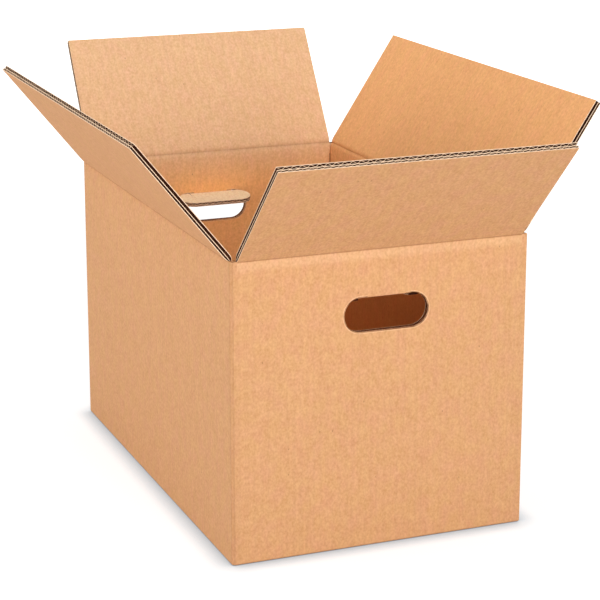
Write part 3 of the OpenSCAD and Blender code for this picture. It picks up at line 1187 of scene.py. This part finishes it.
lapWidth = bottom["lapWidth"]
lapLow = floorZ + bottom["lapShort"]
lapHigh = endWall["creaseZ"] - bottom["lapShort"]
lapCentre = halfWide - boardT - lapWidth / 2


# the lap narrows by a quarter of its width at each end
def lapRun(x):
    return (lapWidth / 4) * (0.5 - x / lapWidth)


lapPlace = wallPlace("front") @ Matrix.Translation((lapCentre, boardT, 0))
lapOutline = (lambda x: lapLow + lapRun(x), lambda x: lapHigh - lapRun(x))
boardPiece(
    "gluedLap", lapWidth, drawnLength, lapPlace, "box", bottom["lapMiddle"],
    outline=lapOutline, columns=6, seed=30.0, crush=box["lapT"] / boardT,
)

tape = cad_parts["bottom_tape"]
tape.data.materials.clear()
tape.data.materials.append(tapePaper)
print("bottom made")


# Floor, light and camera

stage = {
    "floorHalf": 14,
    "floorGlow": 0.74,
    "farGlow": 1.05,  # far from the box, where the lamps don't reach
    "farFrom": 1.2,
    "floorColour": 0.80,
    "floorSeen": 0.42,  # the share of its light that the camera sees beside the glow
    "contactDepth": 0.43,  # a painted contact shadow: how dark the floor turns where the box meets it
    "contactReach": 0.024,
    "contactTint": (0.93, 1.0, 1.06),
    "worldLight": 0.093,
    "lampAim": (0, 0, 0.15),
    "lamps": {  # place, power and size
        "frontLow": ((-0.5, -4.25, 1.54), 156.5, 2.4),
        "frontHigh": ((0.3, -3.2, 3.4), 16.0, 2.0),
        "leftLow": ((-4.2, 0.7, 1.3), 125.0, 2.6),
        "overhead": ((0.0, 0.2, 4.2), 38.0, 1.6),
        "backLow": ((0.9, 4.2, 1.1), 66.0, 2.4),
        "rightLow": ((4.2, 0.5, 1.1), 66.0, 2.4),
    },
}

reach = stage["floorHalf"]
floorMesh = bpy.data.meshes.new("floor")
floorCorners = [(-reach, -reach, 0), (reach, -reach, 0), (reach, reach, 0), (-reach, reach, 0)]
floorMesh.from_pydata(floorCorners, [], [(0, 1, 2, 3)])
floor = newObject("floor", floorMesh)
floorMaterial, nodes = newMaterial("paleFloor")
add = nodes.add
# the floor paints a contact shadow from ambient occlusion, with a cooler tint in it
openness = add("ShaderNodeAmbientOcclusion", {"samples": 16}, {"Distance": stage["contactReach"]}, 1)
shade = (1 - openness) * 2
contact = 1 - shade * stage["contactDepth"]
tint = nodes.mix(shade, opaque((1, 1, 1)), opaque(stage["contactTint"]))
plain = add("ShaderNodeBsdfDiffuse", None, {"Color": opaque((stage["floorColour"],) * 3)})
soft = add("ShaderNodeBsdfDiffuse", None, {"Color": nodes.scale((stage["floorSeen"],) * 3, contact)})
spot = add("ShaderNodeTexCoord", None, None, 3)
distance = nodes.vectors("LENGTH", {0: spot}, 1)
far = nodes.clamp(distance - stage["farFrom"])
strength = contact * (stage["floorGlow"] + far * (stage["farGlow"] - stage["floorGlow"]))
glow = add("ShaderNodeEmission", None, {"Color": nodes.scale(tint, strength)})
lit = add("ShaderNodeAddShader", None, {0: soft, 1: glow})
seen = add("ShaderNodeLightPath")
shadeWith(nodes, add("ShaderNodeMixShader", None, {0: seen, 1: plain, 2: lit}))
floorMesh.materials.append(floorMaterial)

# white for the camera and dim as a light
world = bpy.data.worlds.new("studio")
bpy.context.scene.world = world
nodes = emptied(world)
strength = stage["worldLight"] + nodes.add("ShaderNodeLightPath") * (1 - stage["worldLight"])
sky = nodes.add("ShaderNodeBackground", None, {"Color": nodes.scale((1, 1, 1), strength), "Strength": 1.0})
nodes.add("ShaderNodeOutputWorld", None, {"Surface": sky})


# a matrix at a place, from where -z looks along a direction
def lookingAlong(place, direction):
    return Matrix.Translation(place) @ direction.to_track_quat("-Z", "Y").to_matrix().to_4x4()


for name, (place, power, size) in stage["lamps"].items():
    lamp = bpy.data.lights.new(name, "AREA")
    lamp.energy = power
    lamp.shape = "SQUARE"
    lamp.size = size
    newObject(name, lamp).matrix_world = lookingAlong(place, Vector(stage["lampAim"]) - Vector(place))

view = {
    "place": (-0.7744, -1.9754, 0.7867),
    "azimuth": -21.75,
    "elevation": 14.01,
    "lens": 119.84,
    "shiftY": -0.1,
}
camera = bpy.data.cameras.new("camera")
camera.lens = view["lens"]
camera.sensor_width = 36
camera.shift_y = view["shiftY"]
cameraObject = newObject("camera", camera)
azimuth, elevation = math.radians(view["azimuth"]), math.radians(view["elevation"])
level = math.cos(elevation)
toCamera = Vector((math.sin(azimuth) * level, -math.cos(azimuth) * level, math.sin(elevation)))
cameraObject.matrix_world = lookingAlong(view["place"], -toCamera)
bpy.context.scene.camera = cameraObject
bpy.context.scene.view_settings.view_transform = "Standard"
